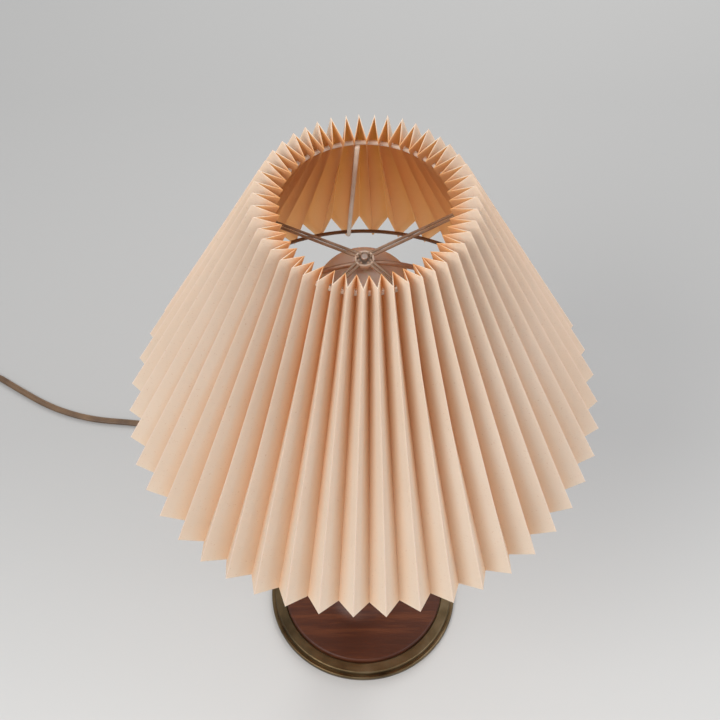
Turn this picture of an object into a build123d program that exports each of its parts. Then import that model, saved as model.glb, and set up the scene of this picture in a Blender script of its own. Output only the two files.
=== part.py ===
from build123d import *
from math import acos, atan2, cos, degrees, hypot, pi, radians, sin, sqrt, tan
import os

# Pleated paper table lamp. Millimetres, +Z up. The origin is the centre of the felt under the
# foot, on the table. The front of the lamp faces -Y and the cord leaves to the back left.

# ---------------------------------------------------------------- driving dimensions
# clearances
glue_gap = 0.05          # radial gap of glued, screwed and pressed fits
run_gap = 0.06           # radial gap of a part that turns in another
rest_gap = 0.30          # gap between curved or soft faces that lie against each other

# foot: a stepped brass pan with a felt pad and an iron disc inside
foot_radius = 74.5
foot_wall = 1.0
lip_height = 4.0         # top of the outer step
lip_width = 3.1
tier_height = 8.0        # top of the inner step
seat_height = 8.4        # flat of the pan, where the wood stands
rim_rise = 1.0           # rolled bead round the wood, above the seat
foot_lift = 0.4          # the brass stands this far off the table
felt_thickness = 1.5
ballast_radius = 66.0
ballast_gap = 0.1        # iron to felt
foot_screw_count = 3
foot_screw_circle_radius = 30.0
foot_screw_radius = 1.9
foot_screw_head = 4.0
foot_screw_bite = 4.0    # length of thread in the wood

# turned teak: a plinth that flares up to a slender column
plinth_radius = 63.2
plinth_edge = 4.8        # height of the plinth's rim above its seat
plinth_rise = 4.2        # how much higher the plinth is where the flare begins
flare_radius = 24.0
plinth_height = 36.0
column_radius = 12.5
column_swell = 15.3
column_length = 252.0
tenon_radius = 8.0
tenon_length = 12.0
nut_pocket_radius = 13.0
nut_pocket_depth = 4.4

# hollow threaded rod, nut and washer
rod_radius = 5.0
rod_bore = 3.5
rod_foot_drop = 1.2      # rod end below the nut
rod_in_holder = 9.0
nut_across_flats = 14.0
nut_height = 3.2
washer_radius = 10.0
washer_thickness = 1.0

# brass cap on the column
cap_radius = 14.4
cap_top_radius = 9.5
cap_height = 9.5

# harp: the wire bow that carries the shade over the bulb
harp_azimuth = 5.0
harp_wire = 3.0
harp_foot_half = 24.0    # half distance between the two legs at the saddle
harp_half_width = 37.5
harp_leg = 28.0          # straight leg above its foot
harp_waist = 72.0        # height of the bend over the legs, above their feet
harp_leg_bend = 30.0
harp_waist_bend = 60.0
harp_crown_radius = 55.0
harp_crown_slope = 24.0
harp_shoulder_radius = 14.0
saddle_width = 13.0
saddle_thickness = 1.5
saddle_pin_height = 12.0
sleeve_wall = 0.9
sleeve_length = 20.0
sleeve_lift = 2.0

# stud on the crown of the harp
stud_radius = 2.2
stud_height = 4.2
collar_radius = 5.4
collar_thickness = 1.0
stud_root_radius = 3.4
stud_root_depth = 2.4    # below the top of the wire

# lampholder
holder_radius = 19.6
holder_wall = 2.0
holder_base_height = 25.0
holder_shell_height = 36.0
holder_mouth_radius = 15.6
insert_radius = 17.0
insert_floor = 13.0
insert_wall_height = 12.0
insert_drop = 6.0        # underside of the insert below the joint of the two shells
screw_shell_radius = 13.4
screw_shell_wall = 0.5
screw_shell_height = 22.0
contact_length = 12.0
contact_width = 5.0
contact_thickness = 0.5
contact_dome_radius = 2.4
contact_height = 2.2
terminal_count = 2
terminal_radius = 2.0
terminal_circle = 9.5
terminal_length = 4.0

# rotary switch in the base of the lampholder
spindle_radius = 2.0
spindle_inner = 7.5      # inner end, from the lamp's axis
spindle_height = 16.0    # above the saddle
knob_radius = 6.0
knob_length = 12.0
knob_stand_off = 0.6
knob_flutes = 12

# bulb
bulb_radius = 30.0
bulb_length = 106.0
bulb_wall = 1.0
bulb_neck_radius = 13.3
bulb_neck_curve = 40.0
bulb_top_gap = 4.8       # glass to the middle of the harp wire
bulb_cap_radius = 13.0
bulb_cap_wall = 0.4
bulb_cap_length = 25.0
bulb_tip_radius = 4.6
bulb_tip_height = 1.6
bulb_insulator_height = 2.2
bulb_insulator_radius = 8.5

# shade: pleated paper sewn to a wire frame
pleat_count = 47
pleat_width = 14.6       # from fold to fold, on the flat sheet
paper = 0.4
shade_bottom_radius = 150.0
shade_top_radius = 58.8
shade_height = 202.0
hub_recess = 54.0        # underside of the hub ring below the paper's top points
front_fold_turn = -2.4   # degrees from straight in front to the nearest outer fold
ring_wire = 3.0
top_ring_inset = 6.4     # the rings stand this far inside the ends of the inner folds
bottom_ring_inset = 3.0
strut_wire = 2.8
strut_tail = 1.0         # the struts end this far below the middle of the bottom ring
strut_over_arm = 2.6     # a strut that carries an arm ends this far above the arm's middle
hub_bore = 4.3
hub_wall = 1.3
hub_height = 2.2
arm_wire = 1.7
arm_spread = 1.15        # half distance between the two wires of an arm
arm_slope = 0.30         # fall per unit of radius
arm_weld_height = 1.1    # above the underside of the hub ring, at its rim
arm_end = 2.8            # the wires end inside the hub ring, this far from the axis
arm_azimuths = (41.4, 143.0, 221.4, 323.0)
plain_strut_azimuths = (94.6, 272.0)

# cord: brown flat twin, 1.8 m in all
cord_width = 5.6
cord_thickness = 2.8
cord_azimuth = 125.0
cord_height_in_foot = 4.0
core_radius = 1.2
core_bend = 5.0
core_start = 13.0        # where the flat cord splits, from the lamp's axis
core_top_gap = 0.4       # below the insert of the lampholder
relief_length = 22.0
relief_wall = 0.9        # round the cord at the foot
relief_tip_wall = 0.45
relief_flange = 1.4
table_gap = 0.06         # cord to table
end_gap = 0.05           # between two lengths of the cord
cord_route = (           # after the relief: x, y of points on the table, chosen by hand
    (-70.0, 100.0),
    (-92.0, 124.0),
    (-126.0, 145.0),
    (-163.0, 155.5),
    (-200.0, 161.2),
    (-240.0, 164.5),
    (-276.0, 176.5),
    (-308.0, 196.0),
    (-335.0, 214.0),
    (-367.0, 217.0),
)
coil_centre = (-400.0, 261.0)
coil_start_radius = 44.0
coil_pitch = 6.2
coil_halves_in = 6
coil_halves_out = 4
coil_lift = 0.9          # the coil lies on its tie
coil_layer = 3.4
tail_route = (           # from the coil to the plug: x, y, z
    (-424.0, 217.0, 5.7),
    (-448.0, 211.0, 8.2),
    (-471.0, 203.5, 8.2),
)
tie_thickness = 0.4
tie_width = 5.0
tie_gap = 0.4
plug_length = 30.0
plug_width = 24.0
plug_thickness = 16.4
plug_nose_width = 18.0
plug_relief_length = 22.0
blade_length = 16.0
blade_height = 6.35
blade_thickness = 1.5
blade_spacing = 12.7

# ---------------------------------------------------------------- heights that follow
pan_top = seat_height
nut_seat = pan_top + nut_pocket_depth
column_foot = pan_top + plinth_height
column_top = column_foot + column_length
saddle_foot = column_top + cap_height
saddle_top = saddle_foot + saddle_thickness
holder_joint = saddle_top + holder_base_height
insert_foot = holder_joint - insert_drop
insert_top = insert_foot + insert_floor
holder_mouth = holder_joint + holder_shell_height
bulb_tip = insert_top + contact_height + rest_gap
bulb_top = bulb_tip + bulb_length
bulb_centre = bulb_top - bulb_radius
crown = bulb_top + bulb_top_gap
hub_foot = crown + harp_wire / 2 + collar_thickness
paper_top = hub_foot + hub_recess
paper_foot = paper_top - shade_height
fold_lean = atan2(shade_bottom_radius - shade_top_radius, shade_height)
half_pitch = pi / pleat_count


# ---------------------------------------------------------------- small helpers
def turned(*corners):
    """Solid of revolution about Z. A corner is (radius, height) or (radius, height, rounding)."""
    points = [(corner[0], corner[1]) for corner in corners]
    rounds = [corner[2] if len(corner) > 2 else 0 for corner in corners]
    outline = FilletPolyline(*points, radius=rounds, close=True)
    return revolve(Plane.XZ * make_face(outline), Axis.Z)


def wire(path, diameter):
    """Round wire along a path."""
    section = Plane(path @ 0, z_dir=path % 0) * Circle(diameter / 2)
    return sweep(section, path)


def turn_about_z(shape, azimuth):
    return Rot(0, 0, azimuth) * shape


def polar(radius, azimuth, height=0.0):
    angle = radians(azimuth)
    return Vector(radius * cos(angle), radius * sin(angle), height)


# ---------------------------------------------------------------- foot
def felt_pad():
    radius = foot_radius - foot_wall - rest_gap
    return turned((0, 0), (radius, 0), (radius, felt_thickness), (0, felt_thickness))


def relief_section(wall):
    """Flat oval round the cord, in a plane across it."""
    return SlotOverall(cord_width + 2 * wall, cord_thickness + 2 * wall)


def cord_plane(radius):
    """Plane across the cord where it runs straight out of the foot; local x is level."""
    out = polar(1, cord_azimuth)
    level = polar(1, cord_azimuth + 90)
    return Plane(polar(radius, cord_azimuth, cord_height_in_foot), x_dir=level, z_dir=out)


def foot_shell():
    """Spun brass pan: outer lip, step, sloping top and a flat seat for the wood."""
    lip_inner = foot_radius - lip_width
    bead = plinth_radius + rest_gap
    shell = turned(
        (rod_radius + 8.6, seat_height),
        (bead, seat_height),
        (bead + 0.4, seat_height + rim_rise, 0.4),
        (lip_inner, tier_height, 1.2),
        (lip_inner, lip_height),
        (foot_radius, lip_height, 1.2),
        (foot_radius, foot_lift),
        (foot_radius - foot_wall, foot_lift),
        (foot_radius - foot_wall, lip_height - foot_wall),
        (lip_inner - foot_wall, lip_height - foot_wall),
        (lip_inner - foot_wall, tier_height - foot_wall),
        (bead + 0.4, seat_height + rim_rise - foot_wall),
        (bead - 0.4, seat_height - foot_wall),
        (rod_radius + 8.6, seat_height - foot_wall),
    )
    outside = relief_section(relief_wall + glue_gap)
    notch = extrude(cord_plane(ballast_radius) * outside, foot_radius - ballast_radius + foot_wall)
    mouth = Box(
        foot_radius - ballast_radius + foot_wall,
        cord_width + 2 * (relief_wall + glue_gap),
        cord_height_in_foot,
        align=(Align.MIN, Align.CENTER, Align.MIN),
    )
    shell -= notch
    shell -= turn_about_z(Pos(ballast_radius, 0, 0) * mouth, cord_azimuth)
    return shell - foot_screws_at(foot_screw_radius + 0.3, 0)


def foot_screws_at(shank, head_gap):
    """Countersunk screws, or their holes when the radii are made larger."""
    head = foot_screw_head + head_gap
    tip = seat_height + foot_screw_bite
    low = felt_thickness + ballast_gap
    screw = turned((0, low), (head, low), (shank, low + head - shank), (shank, tip), (0, tip + shank))
    places = PolarLocations(foot_screw_circle_radius, foot_screw_count, start_angle=cord_azimuth + 60)
    return [place * screw for place in places]


def ballast():
    """Cast iron disc, slotted for the cord and countersunk for its screws."""
    low = felt_thickness + ballast_gap
    high = seat_height - foot_wall
    disc = turned((nut_pocket_radius + 0.6, low), (ballast_radius, low, 0.6),
                  (ballast_radius, high - 1.0), (ballast_radius - 4.0, high),
                  (nut_pocket_radius + 0.6, high))
    slot = Box(
        ballast_radius,
        cord_width + 2 * rest_gap,
        cord_height_in_foot + cord_thickness / 2 + rest_gap,
        align=(Align.MIN, Align.CENTER, Align.MIN),
    )
    disc -= turn_about_z(slot, cord_azimuth)
    return disc - foot_screws_at(foot_screw_radius + 0.3, 0.3)


# ---------------------------------------------------------------- wood and rod
def teak_plinth():
    """Turned disc that flares up into the column, with a socket for the column's tenon."""
    rim = pan_top + plinth_edge
    body = turned(
        (rod_radius + 0.4, nut_seat),
        (nut_pocket_radius, nut_seat),
        (nut_pocket_radius, pan_top),
        (plinth_radius, pan_top),
        (plinth_radius, rim, 1.7),
        (column_radius + 2.2, rim + plinth_rise, flare_radius),
        (column_radius, column_foot),
        (tenon_radius, column_foot),
        (tenon_radius, column_foot - tenon_length),
        (rod_radius + 0.4, column_foot - tenon_length),
    )
    return body - foot_screws_at(foot_screw_radius + glue_gap, 0)


def teak_column():
    """Slender turned column with a gentle swell, bored for the rod, tenon at its foot."""
    swell = ThreePointArc(
        (column_radius, column_foot),
        (column_swell, column_foot + 0.55 * column_length),
        (column_radius, column_top),
    )
    bore = rod_radius + 0.4
    tenon = tenon_radius - glue_gap
    tenon_foot = column_foot - tenon_length + glue_gap
    rest = Polyline(
        (column_radius, column_top), (bore, column_top), (bore, tenon_foot), (tenon, tenon_foot),
        (tenon, column_foot), (column_radius, column_foot),
    )
    return revolve(Plane.XZ * make_face(Curve() + [swell, rest]), Axis.Z)


def threaded_rod():
    low = nut_seat - washer_thickness - nut_height - rod_foot_drop
    high = saddle_top + rod_in_holder
    return turned((rod_bore, low), (rod_radius, low), (rod_radius, high), (rod_bore, high))


def rod_nut():
    low = nut_seat - washer_thickness - nut_height
    hexagon = RegularPolygon(nut_across_flats / 2, 6, major_radius=False)
    return Pos(0, 0, low) * extrude(hexagon - Circle(rod_radius + glue_gap), nut_height)


def rod_washer():
    low = nut_seat - washer_thickness
    bore = rod_radius + glue_gap
    return turned((bore, low), (washer_radius, low), (washer_radius, nut_seat), (bore, nut_seat))


def column_cap():
    """Turned brass cap between the column and the saddle."""
    bore = rod_radius + glue_gap
    return turned(
        (bore, column_top),
        (cap_radius, column_top),
        (cap_radius, column_top + 0.4 * cap_height, 1.2),
        (cap_top_radius, saddle_foot, 1.0),
        (bore, saddle_foot),
    )


# ---------------------------------------------------------------- harp
def harp_saddle():
    """Pressed steel strip, clamped under the lampholder, with a pin at each end."""
    length = 2 * harp_foot_half + saddle_width / 2
    strip = extrude(SlotOverall(length, saddle_width) - Circle(rod_radius + glue_gap),
                    saddle_thickness)
    pin = Cylinder(harp_wire / 2, saddle_pin_height, align=(Align.CENTER, Align.CENTER, Align.MIN))
    pins = [Pos(side * harp_foot_half, 0, saddle_thickness) * pin for side in (-1, 1)]
    return turn_about_z(Pos(0, 0, saddle_foot) * (strip + pins), harp_azimuth)


def harp_path():
    """Half of the bow, drawn in the XZ plane: leg, outward sweep, shoulder and flat crown."""
    lean = radians(harp_crown_slope)
    peak = crown + harp_crown_radius * (1 / cos(lean) - 1)
    shoulder = peak - harp_half_width * tan(lean)
    leg_foot = saddle_top + saddle_pin_height + rest_gap
    right = [
        (harp_foot_half, leg_foot),
        (harp_foot_half, leg_foot + harp_leg),
        (harp_half_width, leg_foot + harp_waist),
        (harp_half_width, shoulder),
    ]
    left = [(-across, height) for across, height in reversed(right)]
    points = [(across, 0, height) for across, height in right + [(0, peak)] + left]
    bends = [harp_leg_bend, harp_waist_bend, harp_shoulder_radius, harp_crown_radius,
             harp_shoulder_radius, harp_waist_bend, harp_leg_bend]
    return FilletPolyline(*points, radius=bends)


def harp_bow():
    return turn_about_z(wire(harp_path(), harp_wire), harp_azimuth)


def harp_sleeves():
    """Tubes on the ends of the bow that drop over the saddle's pins."""
    bore = harp_wire / 2 + glue_gap
    low = saddle_top + sleeve_lift
    outer = bore + sleeve_wall
    tube = turned((bore, low), (outer, low), (outer, low + sleeve_length), (bore, low + sleeve_length))
    return [turn_about_z(Pos(side * harp_foot_half, 0, 0) * tube, harp_azimuth) for side in (-1, 1)]


def shade_stud():
    """Brass stud on the crown: a root with a cross hole for the wire, a collar and a round top."""
    collar_foot = hub_foot - collar_thickness
    root_foot = collar_foot - stud_root_depth - harp_wire / 2
    stud = turned(
        (0, root_foot),
        (stud_root_radius, root_foot, 0.5),
        (stud_root_radius, collar_foot),
        (collar_radius, collar_foot),
        (collar_radius, hub_foot - run_gap),
        (stud_radius, hub_foot - run_gap),
        (stud_radius, hub_foot + stud_height, 0.9),
        (0, hub_foot + stud_height),
    )
    middle = harp_path().trim(0.42, 0.58)
    return stud - turn_about_z(wire(middle, harp_wire + 2 * glue_gap), harp_azimuth)


# ---------------------------------------------------------------- lampholder
def holder_base():
    """Lower moulding: domed cup with a threaded boss and a hole for the switch spindle."""
    bore = rod_radius + glue_gap
    inside = holder_radius - holder_wall
    boss = rod_radius + 3.6
    cup = turned(
        (bore, saddle_top),
        (boss + 2.0, saddle_top, 1.0),
        (holder_radius, saddle_top + 8.0, 5.0),
        (holder_radius, holder_joint),
        (inside, holder_joint),
        (inside, saddle_top + 9.4, 4.0),
        (boss, saddle_top + 5.0),
        (boss, saddle_top + rod_in_holder + 2.0),
        (bore, saddle_top + rod_in_holder + 2.0),
    )
    hole = Cylinder(spindle_radius + run_gap, holder_radius, align=(Align.CENTER, Align.CENTER, Align.MIN))
    flat = Box(2 * knob_radius + 1, 2.0, 2 * knob_radius + 1, align=(Align.CENTER, Align.MAX, Align.CENTER))
    spindle_z = saddle_top + spindle_height
    cup -= Pos(0, -spindle_inner, spindle_z) * Rot(90, 0, 0) * hole
    return cup - Pos(0, -holder_radius + 0.8, spindle_z) * flat


def holder_shell():
    """Upper moulding, from the joint to the mouth."""
    inside = holder_radius - holder_wall
    return turned(
        (inside, holder_joint),
        (holder_radius, holder_joint),
        (holder_radius - 0.8, holder_mouth, 1.4),
        (holder_mouth_radius, holder_mouth, 0.8),
        (holder_mouth_radius, holder_mouth - holder_wall),
        (inside - 0.6, holder_mouth - holder_wall - 1.4),
    )


def holder_insert():
    """Porcelain body with a well for the screw shell."""
    well = screw_shell_radius + screw_shell_wall + glue_gap
    body = turned(
        (0, insert_foot),
        (insert_radius, insert_foot, 0.8),
        (insert_radius, insert_top + insert_wall_height, 0.8),
        (well, insert_top + insert_wall_height),
        (well, insert_top),
        (0, insert_top),
    )
    return body - terminals_at(terminal_radius + glue_gap)


def terminals_at(radius):
    """Brass terminal screws under the insert, or their holes."""
    screw = turned((0, insert_foot), (radius, insert_foot), (radius, insert_foot + terminal_length),
                   (0, insert_foot + terminal_length))
    return [place * screw for place in PolarLocations(terminal_circle, terminal_count)]


def screw_shell():
    """Brass sleeve that the bulb screws into."""
    inner = screw_shell_radius
    outer = inner + screw_shell_wall
    high = insert_top + screw_shell_height
    return turned((inner, insert_top), (outer, insert_top), (outer, high), (inner, high))


def centre_contact():
    """Sprung brass tongue under the tip of the bulb."""
    strip = Box(contact_length, contact_width, contact_thickness,
                align=(Align.CENTER, Align.CENTER, Align.MIN))
    dome = turned((0, 0), (contact_dome_radius, 0), (contact_dome_radius, contact_height, 0.8),
                  (0, contact_height))
    return Pos(0, 0, insert_top) * (strip + dome)


def switch_knob():
    """Fluted knob of the rotary switch; its axis points to the front."""
    back = holder_radius - 0.8 + knob_stand_off
    knob = Circle(knob_radius)
    for place in PolarLocations(knob_radius + 0.4, knob_flutes):
        knob -= place * Circle(0.9)
    knob = extrude(knob - Circle(spindle_radius + glue_gap / 2), knob_length - 1.0)
    face = extrude(Circle(knob_radius - 0.6), 1.0)
    knob += Pos(0, 0, knob_length - 1.0) * face
    return Pos(0, -back, saddle_top + spindle_height) * Rot(90, 0, 0) * knob


def switch_spindle():
    tip = holder_radius - 0.8 + knob_stand_off + knob_length - 1.0 - glue_gap
    rod = Cylinder(spindle_radius, tip - spindle_inner, align=(Align.CENTER, Align.CENTER, Align.MIN))
    return Pos(0, -spindle_inner, saddle_top + spindle_height) * Rot(90, 0, 0) * rod


# ---------------------------------------------------------------- bulb
def glass_outline(inset):
    """Round top, tangent neck curve and straight neck, set in by a wall."""
    neck_centre_r = bulb_neck_radius + bulb_neck_curve
    drop = sqrt((bulb_radius + bulb_neck_curve) ** 2 - neck_centre_r ** 2)
    share = bulb_radius / (bulb_radius + bulb_neck_curve)
    lean = atan2(drop, neck_centre_r)
    ball = bulb_radius - inset
    curve = bulb_neck_curve + inset
    neck_top = bulb_centre - drop
    neck = bulb_neck_radius - inset
    foot = bulb_tip + bulb_insulator_height + bulb_tip_height + 6.0
    join = (share * neck_centre_r - inset * cos(lean), bulb_centre - share * drop + inset * sin(lean))
    middle = lean / 2
    head = ThreePointArc((0, bulb_centre + ball), (ball, bulb_centre), join)
    waist = ThreePointArc(
        join,
        (neck_centre_r - curve * cos(middle), neck_top + curve * sin(middle)),
        (neck, neck_top),
    )
    root = neck - 1.2
    rest = Polyline((neck, neck_top), (root, neck_top - 2.6), (root, foot), (0, foot),
                    (0, bulb_centre + ball))
    return revolve(Plane.XZ * make_face(Curve() + [head, waist, rest]), Axis.Z)


def bulb_glass():
    """Opal glass envelope, open at the foot of its neck."""
    foot = bulb_tip + bulb_insulator_height + bulb_tip_height + 6.0
    hollow = glass_outline(bulb_wall)
    plug = Pos(0, 0, foot) * Cylinder(bulb_neck_radius - 1.2 - bulb_wall, 4.0)
    return glass_outline(0) - hollow - plug


def bulb_cap():
    """Brass screw cap, tapered at its foot."""
    low = bulb_tip + bulb_tip_height + bulb_insulator_height
    high = low + bulb_cap_length - bulb_insulator_height
    wall = bulb_cap_wall
    return turned(
        (bulb_insulator_radius, low),
        (bulb_cap_radius, low + 2.4),
        (bulb_cap_radius, high),
        (bulb_cap_radius - wall, high),
        (bulb_cap_radius - wall, low + 2.4 + wall),
        (bulb_insulator_radius, low + wall),
    )


def bulb_insulator():
    """Black glass between the cap and the tip."""
    low = bulb_tip + bulb_tip_height
    high = low + bulb_insulator_height
    return turned((0, low), (bulb_tip_radius, low), (bulb_insulator_radius, high),
                  (bulb_insulator_radius - glue_gap, high + 1.0), (0, high + 1.0))


def bulb_contact():
    return turned((0, bulb_tip), (bulb_tip_radius - 1.6, bulb_tip),
                  (bulb_tip_radius, bulb_tip + bulb_tip_height), (0, bulb_tip + bulb_tip_height))


# ---------------------------------------------------------------- shade
def inner_fold_radius(outer):
    """Radius of an inner fold, one face width from an outer fold, square to the folds."""
    fall = tan(fold_lean) ** 2
    middle = outer * (cos(half_pitch) + fall)
    rest = (1 + fall) * (outer ** 2 * (1 + fall) - pleat_width ** 2)
    return (middle - sqrt(middle ** 2 - rest)) / (1 + fall)


def mitre(outer, inner):
    """How far a skin of the paper stands from the fold lines, at the outer and inner folds."""
    across = inner * sin(half_pitch)
    at_outer = atan2(across, outer - inner * cos(half_pitch))
    across = outer * sin(half_pitch)
    at_inner = atan2(across, outer * cos(half_pitch) - inner)
    return paper / 2 / sin(at_outer), paper / 2 / sin(at_inner)


def fold_point(fold, at_top, skin):
    """End of a fold on one skin: even folds are outer, odd are inner, skin is +1 or -1."""
    outer = shade_top_radius if at_top else shade_bottom_radius
    inner = inner_fold_radius(outer)
    height = paper_top if at_top else paper_foot
    to_outer, to_inner = mitre(outer, inner)
    azimuth = -90 + front_fold_turn + fold * degrees(half_pitch)
    if fold % 2 == 0:
        return polar(outer + skin * to_outer, azimuth, height)
    return polar(inner + skin * to_inner, azimuth, height - (outer - inner) * tan(fold_lean))


def pleated_shade():
    """One strip of paper in sharp folds of equal width, so its ends are square to the folds."""
    faces = []
    for fold in range(2 * pleat_count):
        def corner(step, at_top, skin):
            return fold_point((fold + step) % (2 * pleat_count), at_top, skin)

        sides = [
            [corner(0, False, 1), corner(1, False, 1), corner(1, True, 1), corner(0, True, 1)],
            [corner(0, True, -1), corner(1, True, -1), corner(1, False, -1), corner(0, False, -1)],
            [corner(0, True, 1), corner(1, True, 1), corner(1, True, -1), corner(0, True, -1)],
            [corner(0, False, -1), corner(1, False, -1), corner(1, False, 1), corner(0, False, 1)],
        ]
        for a, b, c, d in sides:
            faces.append(Face.make_surface_from_curves(Edge.make_line(a, b), Edge.make_line(d, c)))
    return Solid(Shell(faces))


def inner_fold_at(height):
    """Radius of the inner folds' inside skin at a height."""
    top = inner_fold_radius(shade_top_radius)
    foot = inner_fold_radius(shade_bottom_radius)
    top_z = paper_top - (shade_top_radius - top) * tan(fold_lean)
    foot_z = paper_foot - (shade_bottom_radius - foot) * tan(fold_lean)
    share = (height - foot_z) / (top_z - foot_z)
    top -= mitre(shade_top_radius, top)[1]
    foot -= mitre(shade_bottom_radius, foot)[1]
    return foot + share * (top - foot)


def ring_height(at_top):
    """Height of a ring's middle, a little inside the ends of the inner folds."""
    outer = shade_top_radius if at_top else shade_bottom_radius
    edge = (paper_top if at_top else paper_foot) - (outer - inner_fold_radius(outer)) * tan(fold_lean)
    return edge - top_ring_inset if at_top else edge + bottom_ring_inset


def ring_radius(at_top):
    return inner_fold_at(ring_height(at_top)) - (ring_wire / 2 + rest_gap) / cos(fold_lean)


def frame_ring(at_top):
    return Pos(0, 0, ring_height(at_top)) * Torus(ring_radius(at_top), ring_wire / 2)


def strut_ends():
    """Middle line of a strut: it butts under the top ring and lies inside the bottom ring."""
    inward = ((ring_wire + strut_wire) / 2 + glue_gap) / cos(fold_lean)
    foot = (ring_radius(False) - inward + strut_tail * tan(fold_lean), ring_height(False) - strut_tail)
    below = ring_wire / 2 + glue_gap
    top = (ring_radius(True) + below * sin(fold_lean), ring_height(True) - below * cos(fold_lean))
    return foot, top


def strut_radius(height):
    (foot_r, foot_z), (top_r, top_z) = strut_ends()
    return foot_r + (height - foot_z) / (top_z - foot_z) * (top_r - foot_r)


def frame_strut(azimuth):
    """Straight wire from the bottom ring up to the top ring, or only up to its arm."""
    foot, top = strut_ends()
    if azimuth in arm_azimuths:
        height = arm_height(arm_reach()) + strut_over_arm
        top = (strut_radius(height), height)
    return turn_about_z(wire(Line((foot[0], 0, foot[1]), (top[0], 0, top[1])), strut_wire), azimuth)


def hub_ring():
    """Small ring over the stud, notched for the wires of the arms."""
    low = hub_foot
    high = hub_foot + hub_height
    outer = hub_bore + hub_wall
    ring = turned((hub_bore, low), (outer, low, 0.4), (outer, high, 0.5), (hub_bore, high, 0.4))
    for azimuth in arm_azimuths:
        ring -= hub_arm(azimuth, glue_gap)
    return ring


def arm_reach():
    """Radius of the bend in a sloping arm, whose wire touches the inside of its strut."""
    low, high = 20.0, shade_bottom_radius
    for _ in range(40):
        middle = (low + high) / 2
        height = arm_height(middle)
        if middle < strut_radius(height) - ((strut_wire + arm_wire) / 2 + glue_gap) / cos(fold_lean):
            low = middle
        else:
            high = middle
    return low


def arm_height(radius):
    root = hub_bore + hub_wall
    return hub_foot + arm_weld_height - arm_slope * (radius - root)


def hub_arm(azimuth, allowance=0.0):
    """Hairpin of wire from inside the hub ring down to a strut, or its notch with an allowance."""
    lean = atan2(arm_slope, 1)
    slope = Plane((0, 0, arm_height(0)), x_dir=(cos(lean), 0, -sin(lean)), z_dir=(sin(lean), 0, cos(lean)))
    root = arm_end / cos(lean)
    tip = arm_reach() / cos(lean)
    corners = [(root, -arm_spread), (tip, -arm_spread), (tip, arm_spread), (root, arm_spread)]
    path = slope * FilletPolyline(*corners, radius=0.96 * arm_spread)
    return turn_about_z(wire(path, arm_wire + 2 * allowance), azimuth)


# ---------------------------------------------------------------- cord
def flat_cord(path):
    """Flat twin cord along a path; its broad side stays level."""
    start = path % 0
    level = Vector(-start.Y, start.X, 0).normalized()
    section = Plane(path @ 0, x_dir=level, z_dir=start) * SlotOverall(cord_width, cord_thickness)
    return sweep(section, path)


def cord_relief():
    """Tapered sleeve at the foot, with a flange inside the brass."""
    flange_at = ballast_radius + 1.0
    tier_inner = foot_radius - lip_width - foot_wall
    tip = foot_radius + relief_length
    root = cord_plane(flange_at) * relief_section(relief_wall)
    end = cord_plane(tip) * relief_section(relief_tip_wall)
    sleeve = loft([root, end])
    flange = cord_plane(flange_at) * SlotOverall(cord_width + 5.0, cord_thickness + 2.0)
    sleeve += extrude(flange, tier_inner - rest_gap - flange_at)
    bore = cord_plane(flange_at - 1.0) * relief_section(glue_gap)
    return sleeve - extrude(bore, tip - flange_at + 2.0)


def cord_in_foot():
    """Flat cord from the rod to the end of the sleeve."""
    plane = cord_plane(core_start)
    return extrude(plane * SlotOverall(cord_width, cord_thickness),
                   foot_radius + relief_length - core_start)


def cord_cores():
    """The two insulated cores, up the hollow rod to the lampholder."""
    top = insert_foot - core_top_gap
    cores = []
    for side in (-1, 1):
        across = side * (core_radius + glue_gap)
        path = FilletPolyline(
            (core_start - glue_gap, across, cord_height_in_foot),
            (0, across, cord_height_in_foot),
            (0, across, top),
            radius=core_bend,
        )
        cores.append(turn_about_z(wire(path, 2 * core_radius), cord_azimuth))
    return cores


def smooth_route(points):
    """Straight runs joined by arcs as large as the shorter run allows; prints the radii."""
    radii = []
    for before, here, after in zip(points, points[1:], points[2:]):
        run_in = Vector(here) - Vector(before)
        run_out = Vector(after) - Vector(here)
        half_turn = radians(run_in.get_angle(run_out)) / 2
        radii.append(0.45 * min(run_in.length, run_out.length) / tan(half_turn))
    print("bend radii", [round(radius) for radius in radii])
    return FilletPolyline(*points, radius=radii)


def coil_nodes():
    """Ends of the coil's half turns: signed distance from the centre along Y, and height."""
    height = coil_lift + cord_thickness / 2
    radius = coil_start_radius
    side = -1
    nodes = [(side * radius, height)]
    for _ in range(coil_halves_in):
        radius -= coil_pitch / 2
        side = -side
        nodes.append((side * radius, height))
    # the innermost half turn climbs, and the next one steps out past it
    radius -= coil_pitch / 2
    height += coil_layer
    side = -side
    nodes.append((side * radius, height))
    radius += 1.5 * coil_pitch
    for _ in range(coil_halves_out + 1):
        side = -side
        nodes.append((side * radius, height))
        radius += coil_pitch / 2
    return nodes


def coil_arc(start, low, end, high):
    """Clockwise half circle between two nodes; its ends point along X."""
    west = -1 if start < 0 else 1
    reach = abs(start - end) / 2
    begin = Vector(coil_centre[0], coil_centre[1] + start, low)
    halfway = Vector(coil_centre[0] + west * reach, coil_centre[1] + (start + end) / 2, (low + high) / 2)
    finish = Vector(coil_centre[0], coil_centre[1] + end, high)
    return ThreePointArc(begin, halfway, finish)


def coil_path():
    nodes = coil_nodes()
    arcs = [coil_arc(*here, *there) for here, there in zip(nodes, nodes[1:])]
    return Wire([edge for arc in arcs for edge in arc.edges()])


def coil_section(start, height):
    """The cord's section where a half turn begins, with its broad side level."""
    west = -1 if start < 0 else 1
    plane = Plane((coil_centre[0], coil_centre[1] + start, height), x_dir=(0, 1, 0), z_dir=(west, 0, 0))
    return plane * SlotOverall(cord_width, cord_thickness)


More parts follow.
